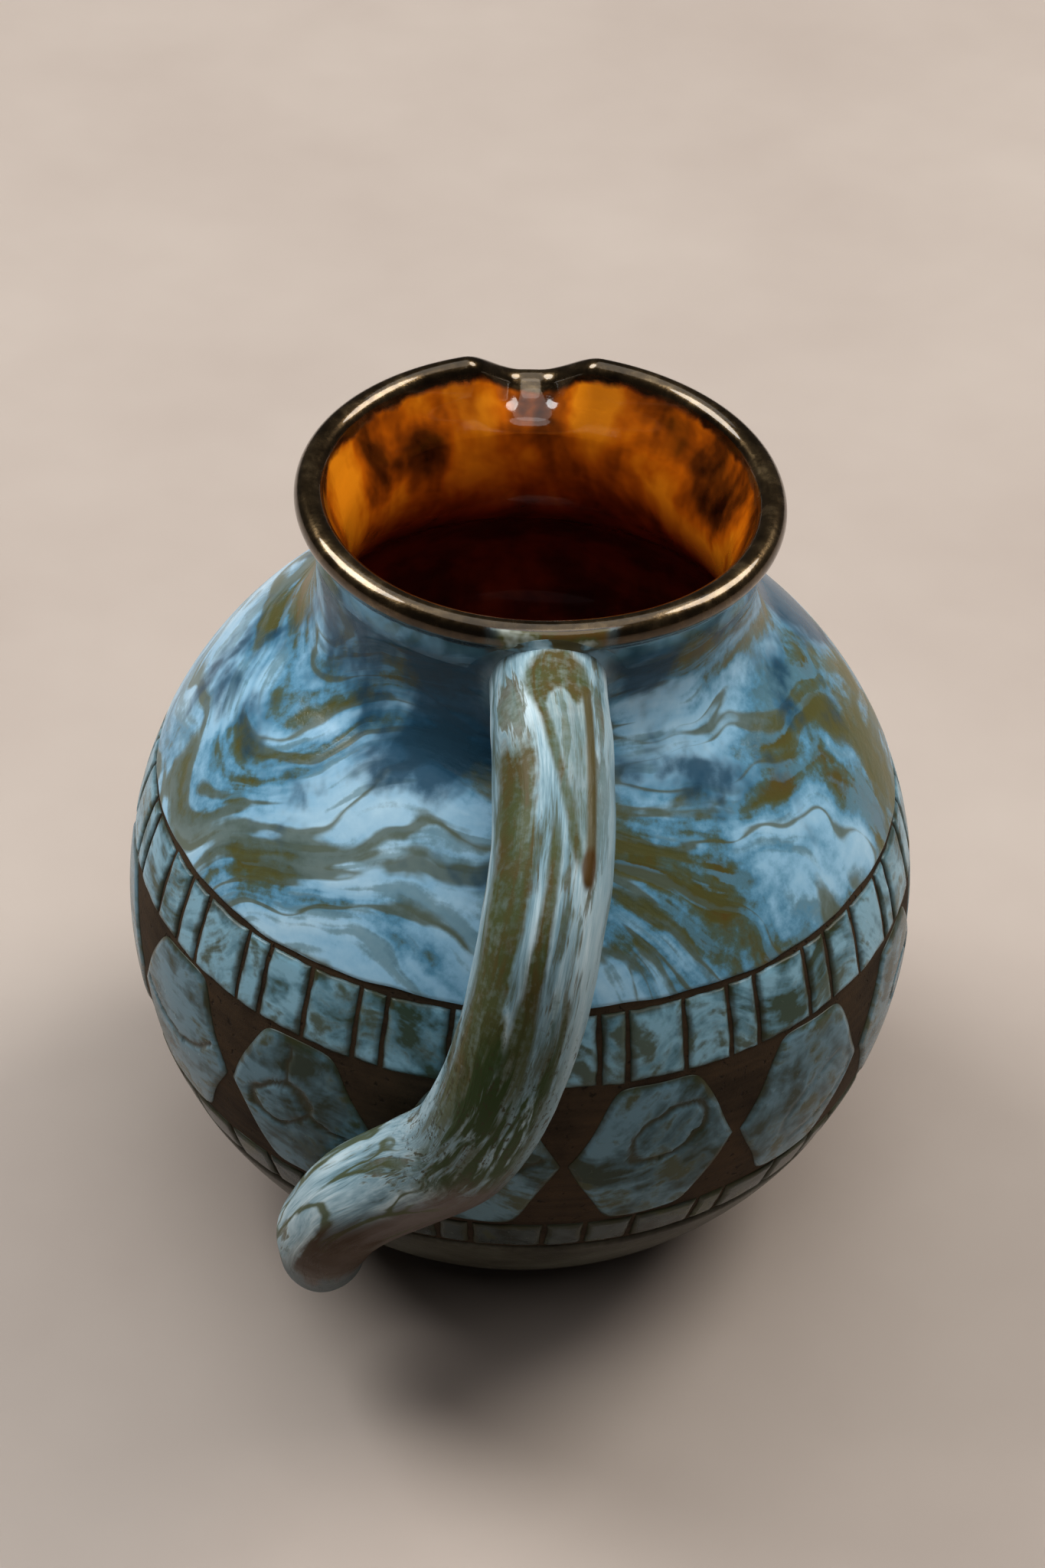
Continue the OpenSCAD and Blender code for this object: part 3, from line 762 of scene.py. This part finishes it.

# The fillet: soft clay worked in round the root of the handle, so that it flows into the collar.
# It has the collar's blue glaze and painted navy shade. Pale and brown glaze from the handle has run over
# its top.
fillet_w = 0.005
fillet_top = 0.2
fillet_bite = 0.0006
back_rows, face_rows = 8, 16
root_blue, shader, place = material("root_blue")
colour, rough, relief = blue_glaze(place)
pale_run = (1 - place.attribute("spread") + (place.noise(260, 3) - 0.5) * 0.5).step(0.35, 0.95)
colour = (pale_run * 0.5).paint(crested(place, colour), handle_blue)
over_root = (place.axis(2) - root_z).step(0.0055, 0.0085)
streaks = place.noise(240, 3).ramp((0.44, handle_umber), (0.50, handle_blue), (0.58, handle_white))
colour = (over_root * 0.9).paint(colour, streaks)
dress(shader, colour, rough, relief, glaze_relief)
glossy(shader)


def outside_r(z):
    """Radius of the collar and rim at a height."""
    hollow = curve_x - np.sqrt(np.maximum(neck_curve ** 2 - (z - waist_z) ** 2, 0))
    roll = roll_x + np.sqrt(np.maximum(roll_r ** 2 - (z - roll_z) ** 2, 0))
    flare = np.where(z < roll_z - roll_r, flare_r(z), np.maximum(flare_r(np.minimum(z, roll_z)), roll))
    return np.where(z < waist_z, hollow, np.where(z < roll_z, flare, roll))


around = even_turns(160)
width = fillet_w * (fillet_top + (1 - fillet_top) * np.sin(around / 2) ** 2)
fillet_rings = []
fillet_shares = [*np.linspace(0, 1, back_rows), *np.linspace(1, 0, face_rows)]
for i, share in enumerate(fillet_shares):
    u = handle_r - fillet_bite * (1 - share) + width * share
    x, z = -u * np.sin(around), root_z + u * np.cos(around)
    out = width - np.sqrt(width ** 2 - (width * (1 - share)) ** 2)
    y = -np.sqrt(outside_r(z) ** 2 - x ** 2) + (hidden_lap if i < back_rows else -out)
    fillet_rings.append(np.stack([x, y, z], axis=1))
fillet = skin("root_fillet_clay", np.array(fillet_rings)[::-1], root_blue, None, 60)
store(fillet, spread=np.repeat(fillet_shares[::-1], len(around)))
place_piece(fillet, "pale_glaze", "root_fillet")

# The upper border: a band of glaze cut into small upright cells by lines scratched down to the clay.
# Each cell is a little cushion of grey-blue glaze with worn olive edges, and no two are quite alike.
tail_from, tail_to = knots[8], knots[-2]
tail_gap = 0.0016
tail_room_r = rolls[-1] + tail_gap
tail_fade = 0.0012
tail_sink = 0.0002
line_w = groove * 0.8
cell_base = 0.00005
cell_share = 0.95
cell_sink = 0.00012
beat = math.radians(137.5)
cell_olive = (0.068, 0.074, 0.028, 1)


def cell_glaze(name, pale, slate, dark, wash_share):
    """Glaze of the cut cells and panels: pale patches over slate, an olive wash and a worn, dark edge."""
    made, shader, place = material(name)
    tint, inset, cut = place.attribute("tint"), place.attribute("inset"), place.attribute("cut")
    across = flow_round(place)
    strokes = along_flow(place, across, 170, 70)
    fine = along_flow(place, across, 640, 190)
    cloud = place.wander(110, 0.003).noise(165, 4, 0.55)
    speck = place.noise(760, 3, 0.6)
    tone = cloud * 0.42 + strokes * 0.38 + fine * 0.20 + (tint - 0.5) * 0.07
    colour = tone.ramp((0.395, dark), (0.455, slate), (0.525, pale))
    wash = cloud * 0.35 + fine * 0.25 + place.shifted(0.4, 0.1, 0.2).noise(95) * 0.3 + speck * 0.1
    wash = wash.step(0.50, 0.60)
    colour = (wash * wash_share).paint(colour, cell_olive)
    worn = 1 - (inset * 1000 + (speck - 0.5) * 0.7 + (cloud - 0.5) * 3.2).step(-0.3, 1.2)
    colour = (worn * 0.9).paint(colour, olive_dark)
    colour = (cut * 0.9).paint(colour, olive_dark)
    dress(shader, colour, 0.18 + speck * 0.14 + worn * 0.14, fine * 0.4 + cloud * 0.4, fine_relief)
    glossy(shader, 0.06, 0.12, 0.22)
    return made


border_glaze = cell_glaze("border_glaze", (0.25, 0.44, 0.54, 1), (0.120, 0.240, 0.295, 1),
                          (0.050, 0.080, 0.056, 1), 0.85)


def hashed(value, seed):
    """A fixed random share for each whole number."""
    return value.maths("FRACT", (value * 12.9898 + seed * 7.31).sine() * 43758.5453)


def copied_on(points, size, rows):
    """A flat cushion copied on every point and made real, and the place of its corners."""
    cushion = points.node("GeometryNodeMeshCube", None, {0: size, 1: rows, 2: rows, 3: 2})
    copies = points.node("GeometryNodeInstanceOnPoints", None, {0: points, 2: cushion})
    copies = points.node("GeometryNodeRealizeInstances", None, {0: copies})
    return copies, points.node("GeometryNodeInputPosition")


def laid_on_globe(geometry, turn, lat, height, wires):
    """Cushions laid on the globe, with their glaze drawn down to the clay round the handle's tail."""
    flat = lat.cosine()
    way = turn.axes(flat * turn.cosine(), flat * turn.sine(), lat.sine())
    centre, radius = wires["Globe centre"], wires["Clay radius"]
    span = wires["Tail to"].less(wires["Tail from"])
    reach = centre.plus(way.scaled(radius)).less(wires["Tail from"])
    share = reach.dot(span) / span.dot(span)
    gap = reach.less(span.scaled(share.high(0).low(1))).length()
    clear = (gap - wires["Tail room"]).step(0.0, tail_fade)
    laid_r = radius + height * clear - (1 - clear) * tail_sink
    laid = centre.plus(way.scaled(laid_r))
    return geometry.node("GeometryNodeSetPosition", None, {0: geometry, 2: laid})


globe_inputs = [("Globe centre", "Vector"), ("Clay radius", "Float"), ("Glaze thickness", "Float"),
                ("Tail from", "Vector"), ("Tail to", "Vector"), ("Tail room", "Float"), ("Seed", "Float")]
globe_values = {"Globe centre": globe_c.tolist(), "Clay radius": clay_r, "Glaze thickness": glaze_t,
                "Tail from": tail_from.tolist(), "Tail to": tail_to.tolist(), "Tail room": tail_room_r}

border_tree, wires, border_ids = node_tree(
    "cut_border", ("Cells", "Int"), ("First turn", "Float"), ("Turn span", "Float"),
    ("Low latitude", "Float"), ("High latitude", "Float"), ("Line width", "Float"), ("Glaze", "Material"),
    *globe_inputs)
count = wires["Cells"] + 0.0
points = count.node("GeometryNodePoints", None, {0: wires["Cells"]})
index = count.node("GeometryNodeInputIndex")


def bar_at(i):
    """Turn of the line before a cell. The lines stand unevenly, but the first and last stay put."""
    inside = i.maths("LESS_THAN", i, count - 0.5)
    return wires["First turn"] + wires["Turn span"] / count * (i + (i * beat).sine() * 0.22 * inside)


lat_span = wires["High latitude"] - wires["Low latitude"]
middle_r = wires["Clay radius"] * (wires["Low latitude"] + lat_span * 0.5).cosine()
bar = wires["Line width"] / middle_r
points = stored(points, "cell_from", bar_at(index) + bar * 0.5)
points = stored(points, "cell_to", bar_at(index + 1) - bar * 0.5)
points = stored(points, "tint", hashed(index, wires["Seed"]))
cells, spot = copied_on(points, (1, 1, 1), 15)


def crowded(value):
    """Moves evenly spaced rows towards both edges of a cushion, where its glaze rounds over."""
    return 0.5 + value * 0.42 + (value * math.pi).sine() * 0.29


u, v, top = crowded(spot.axis(0)), crowded(spot.axis(1)), spot.axis(2) + 0.5
cell_from, cell_span = named(cells, "cell_from"), named(cells, "cell_to") - named(cells, "cell_from")
turn, lat = cell_from + cell_span * u, wires["Low latitude"] + lat_span * v
inset = (u.low(1 - u) * cell_span * middle_r).low(v.low(1 - v) * lat_span * wires["Clay radius"])
flat = spot.axes(turn * 9, lat * 9, named(cells, "tint") * 3)
turn = turn + (flat.shifted(7.3, 1.7, 4.1).noise(2.2, 2) - 0.5) * 0.012
lat = lat + (flat.noise(1.6, 2) - 0.5) * 0.016
swell = inset.step(-0.0004, 0.0007)
height = top * (cell_base + wires["Glaze thickness"] * swell * cell_share) - cell_sink
cells = laid_on_globe(stored(cells, "inset", inset), turn, lat, height, wires)
closed_tree(border_tree, cells, wires["Glaze"])


def cut_border(name, glaze, cells, first_turn, turn_span, low_lat, high_lat, seed):
    """A border of cells between two latitudes, from its first turn on."""
    return grown(name, bpy.data.meshes.new("none"), border_tree, border_ids, {
        **globe_values, "Glaze": glaze, "Cells": cells, "First turn": first_turn, "Turn span": turn_span,
        "Seed": seed, "Line width": line_w, "Low latitude": math.radians(low_lat + groove_deg / 2),
        "High latitude": math.radians(high_lat - groove_deg / 2)})


upper_low_lat = 10
upper_count = 52
upper = cut_border("upper_border_cells", border_glaze, upper_count, 0.0, 2 * math.pi,
                   upper_low_lat, upper_top_lat, 1.0)
place_piece(upper, "grey_blue_glaze", "upper_border")

# The panels: a row of glaze pebbles round the widest part of the belly, cut out one by one.
# Between them the brown clay shows, and some have a ring or a curve scratched into them.
lower_top_lat = -17.5
panel_count = 14
panel_h = 0.030
panel_gap = 0.001
panel_first_sweep = -17
panel_taper = 0.48
panel_tilt = 0.14
panel_squareness = 16
ring_spread = 0.008
ring_least, ring_range = 0.0030, 0.0028
bow_r, bow_rise = 0.0135, 0.012
cut_depth = 0.00042
lot_turn = 6.28
panel_lat = (upper_low_lat + lower_top_lat) / 2
panel_w = 2 * math.pi * glaze_r / panel_count - panel_gap
side_x, side_y = panel_h / 2, panel_w / 2 * (1 - panel_taper)
side_reach = panel_w / 2 * side_x
panel_lean = panel_tilt * (1 - panel_taper) * panel_w / panel_h
panel_glaze = cell_glaze("panel_glaze", (0.145, 0.255, 0.315, 1), (0.072, 0.132, 0.154, 1),
                         (0.034, 0.052, 0.036, 1), 0.9)

tree, wires, ids = node_tree("cut_panels", ("Panels", "Int"), ("First turn", "Float"), ("Height", "Float"),
                             ("Latitude", "Float"), *globe_inputs)
count = wires["Panels"] + 0.0
points = count.node("GeometryNodePoints", None, {0: wires["Panels"]})
index = count.node("GeometryNodeInputIndex")
points = stored(points, "number", index + 0.0)
points = stored(points, "tint", hashed(index, wires["Seed"]))
panels, spot = copied_on(points, (2, 2, 1), 57)
number = named(panels, "number")


def drawn_lot(k):
    """The k-th fixed random share of a panel."""
    return hashed(number + 30 * k, wires["Seed"])


x, y, top = spot.axis(0), spot.axis(1), spot.axis(2) + 0.5
size = 1 - (1 - abs(x).high(abs(y))) ** 1.25
angle = spot.maths("ARCTAN2", y, x)
cosine, sine = angle.cosine(), angle.sine()
side_edge = (abs(cosine) * side_x + abs(sine) * side_y) / side_reach
end_edge = abs(sine) / (wires["Height"] * 0.5)
outline = (end_edge ** panel_squareness + side_edge ** panel_squareness) ** (-1 / panel_squareness)
uneven = (angle * 2 + drawn_lot(1) * lot_turn).sine() * 0.020
uneven = uneven + (angle * 5 + drawn_lot(2) * lot_turn).sine() * 0.014
reach = outline * (0.985 + uneven) * size
up = reach * sine
across = reach * cosine + (number * beat).sine() * panel_lean * up
inset = (1 - size) * outline
ring_x, ring_y = (drawn_lot(3) - 0.5) * ring_spread, (drawn_lot(4) - 0.5) * ring_spread
ring_r = ring_least + drawn_lot(5) * ring_range
waver = (spot.axes(across * 190, up * 190, number).noise(1, 2) - 0.5) * 0.0035
ring_across, ring_up = (across - ring_x) * 0.72, up - ring_y - across * 0.35
from_ring = ring_across.hypot(ring_up) + waver
ring = 1 - abs(from_ring - ring_r).step(0.00025, 0.00075)
bow_across, bow_up = across + ring_x * 3, up - bow_rise
scratch = 1 - abs(bow_across.hypot(bow_up) - bow_r + waver).step(0.0002, 0.0006)
cut = (ring * drawn_lot(6).step(0.35, 0.36)).high(scratch * drawn_lot(7).step(0.45, 0.46))
cut = cut * inset.step(0.0012, 0.0020) * top
swell = inset.step(-0.0006, 0.0012)
height = top * (cell_base + wires["Glaze thickness"] * swell * cell_share) - cell_sink - cut * cut_depth
level_r = wires["Clay radius"] * wires["Latitude"].cosine()
turn = wires["First turn"] + number * (2 * math.pi) / count + across / level_r
lat = wires["Latitude"] + up / wires["Clay radius"]
panels = stored(panels, "inset", inset)
panels = stored(panels, "cut", cut)
closed_tree(tree, laid_on_globe(panels, turn, lat, height, wires), panel_glaze)
pebbles = grown("glaze_panels", bpy.data.meshes.new("none"), tree, ids, {
    **globe_values, "Panels": panel_count, "First turn": math.radians(-90 - panel_first_sweep),
    "Height": panel_h * 1.02, "Latitude": math.radians(panel_lat), "Seed": 2.0})
place_piece(pebbles, "grey_blue_glaze", "panels")

# The lower border: small glaze cells under the panels, cut like the upper one, in colours darkened as
# painted shade.
# It stops on both sides of the handle's tail.
lower_low_lat = -25
lower_count = 44
tail_sweep = 28.9
tail_turn = math.radians(-90 - tail_sweep)
tail_half = math.radians(6.1)
# The same glaze as the upper border, much darker: painted shade on the lower belly.
lower_shaded_glaze = cell_glaze("lower_shaded_glaze", (0.062, 0.078, 0.076, 1), (0.038, 0.048, 0.045, 1),
                         (0.024, 0.027, 0.019, 1), 0.8)
lower = cut_border("lower_border_cells", lower_shaded_glaze, lower_count, tail_turn + tail_half,
                   2 * (math.pi - tail_half), lower_low_lat, lower_top_lat, 3.0)
place_piece(lower, "grey_blue_glaze", "lower_border")

# The glaze round the foot: a plain olive-grey coat from the lower border down to just above the foot.
# It thins towards its edges, and is cut back round the tail of the handle.
foot_edge_lat = seat_lat + groove_deg
coat_top_lat = lower_low_lat - groove_deg / 2
coat_edge = 0.0011
coat_dark = (0.030, 0.027, 0.017, 1)
coat_mid = (0.062, 0.058, 0.040, 1)
coat_pale = (0.110, 0.114, 0.088, 1)
foot_olive, shader, place = material("foot_olive")
drift = place.wander(50, 0.004).stretched(1, 1, 2.2).noise(60, 5, 0.6)
fine = place.noise(800, 3, 0.6)
tone = drift * 0.75 + fine * 0.25
colour = tone.ramp((0.36, coat_dark), (0.5, coat_mid), (0.66, coat_pale))
dress(shader, colour, 0.26 + fine * 0.2, fine * 0.4 + drift * 0.3, fine_relief)
glossy(shader, 0.05, 0.12, 0.2)

lats = np.radians(np.linspace(foot_edge_lat, coat_top_lat, 70))
rise_in = np.clip(np.minimum(lats - lats[0], lats[-1] - lats) * glaze_r / coat_edge, 0, 1)
coat_t = (glaze_t + edge_lap) * (1 - (1 - rise_in) ** 2) - edge_lap
lats, turns = np.meshgrid(lats, even_turns(320), indexing="ij")
reach = on_globe(turns, lats, clay_r) - tail_from
span = tail_to - tail_from
share = np.clip(reach @ span / (span @ span), 0, 1)
gap = np.linalg.norm(reach - share[..., None] * span, axis=2) - tail_room_r
clear = np.clip(gap / tail_fade, 0, 1)
coat_r = clay_r + coat_t[:, None] * clear - (1 - clear) * tail_sink
coat_rings = np.concatenate([on_globe(turns, lats, coat_r),
                             on_globe(turns, lats, clay_r - hidden_lap - edge_lap)[::-1]])
coat = skin("foot_coat", coat_rings, foot_olive, None, 60)
place_piece(coat, "olive_glaze", "foot_glaze")

# The studio: a pale matt floor under broad soft lights overhead and in front,
# and two smaller ones above both sides that glint in the lip.
# The camera stands where the photograph was taken from.
floor_half = 3
floor_dark, floor_pale = (0.42, 0.35, 0.305, 1), (0.47, 0.40, 0.35, 1)
warm_white, cool_white = (1.0, 0.97, 0.93), (0.96, 0.985, 1.0)
lit_spot = Vector((0, 0, 0.08))
studio_floor, shader, place = material("studio_floor")
mottle = place.noise(9, 4, 0.6)
colour = mottle.ramp((0.3, floor_dark), (0.7, floor_pale))
dress(shader, colour, 0.6 + mottle * 0.1, mottle, 0.00001)
floor_mesh = bpy.data.meshes.new("studio_floor")
corners = [(x * floor_half, y * floor_half, 0) for x, y in ((-1, -1), (1, -1), (1, 1), (-1, 1))]
floor_mesh.from_pydata(corners, [], [(0, 1, 2, 3)])
floor_mesh.materials.append(studio_floor)
floor = set_down("studio_floor", floor_mesh)


def soft_light(name, spot, size, watts, colour):
    """A round soft light, turned to the jug."""
    lamp = bpy.data.lights.new(name, "AREA")
    lamp.shape, lamp.size, lamp.energy, lamp.color = "DISK", size, watts, colour
    holder = set_down(name, lamp)
    holder.location = spot
    holder.rotation_euler = (lit_spot - Vector(spot)).to_track_quat("-Z", "Y").to_euler()


soft_light("overhead", (0.0, 0.3, 1.6), 1.8, 11, cool_white)
soft_light("upper_left", (-1.05, 0.45, 1.35), 0.9, 20, cool_white)
soft_light("upper_right", (1.05, 0.45, 1.35), 0.9, 17, warm_white)
soft_light("front", (0.15, -0.7, 1.6), 1.2, 7, cool_white)

world = bpy.data.worlds.new("studio")
bpy.context.scene.world = world
world.use_nodes = True
backdrop = world.node_tree.nodes["Background"]
backdrop.inputs["Color"].default_value = (0.84, 0.83, 0.82, 1)
backdrop.inputs["Strength"].default_value = 0.05
film = bpy.context.scene.view_settings
film.view_transform = "Standard"
film.look = "Medium High Contrast"
film.exposure = -0.2

view_turn, view_rise, view_roll = math.radians(-4), math.radians(40.13), math.radians(3.05)
view_far = 9.518 * glaze_r
picture_h = 2048
focal = 4836
off_x, off_y = 2.6, 122
back = np.array([math.sin(view_turn) * math.cos(view_rise), -math.cos(view_turn) * math.cos(view_rise),
                 math.sin(view_rise)])
level = np.array([math.cos(view_turn), math.sin(view_turn), 0])
up = np.cross(back, level) * math.cos(view_roll) - level * math.sin(view_roll)
right = np.cross(up, back)
ahead = -back + up * off_y / focal + right * off_x / focal
ahead /= np.linalg.norm(ahead)
right = np.cross(ahead, up)
right /= np.linalg.norm(right)
eye = bpy.data.cameras.new("photo_view")
eye.sensor_width = 36
eye.lens = focal / picture_h * eye.sensor_width
eye.clip_start = 0.01
camera = set_down("photo_view", eye)
turned = np.column_stack([right, np.cross(right, ahead), -ahead])
camera.matrix_world = Matrix.Translation(globe_c + back * view_far) @ Matrix(turned.tolist()).to_4x4()
bpy.context.scene.camera = camera
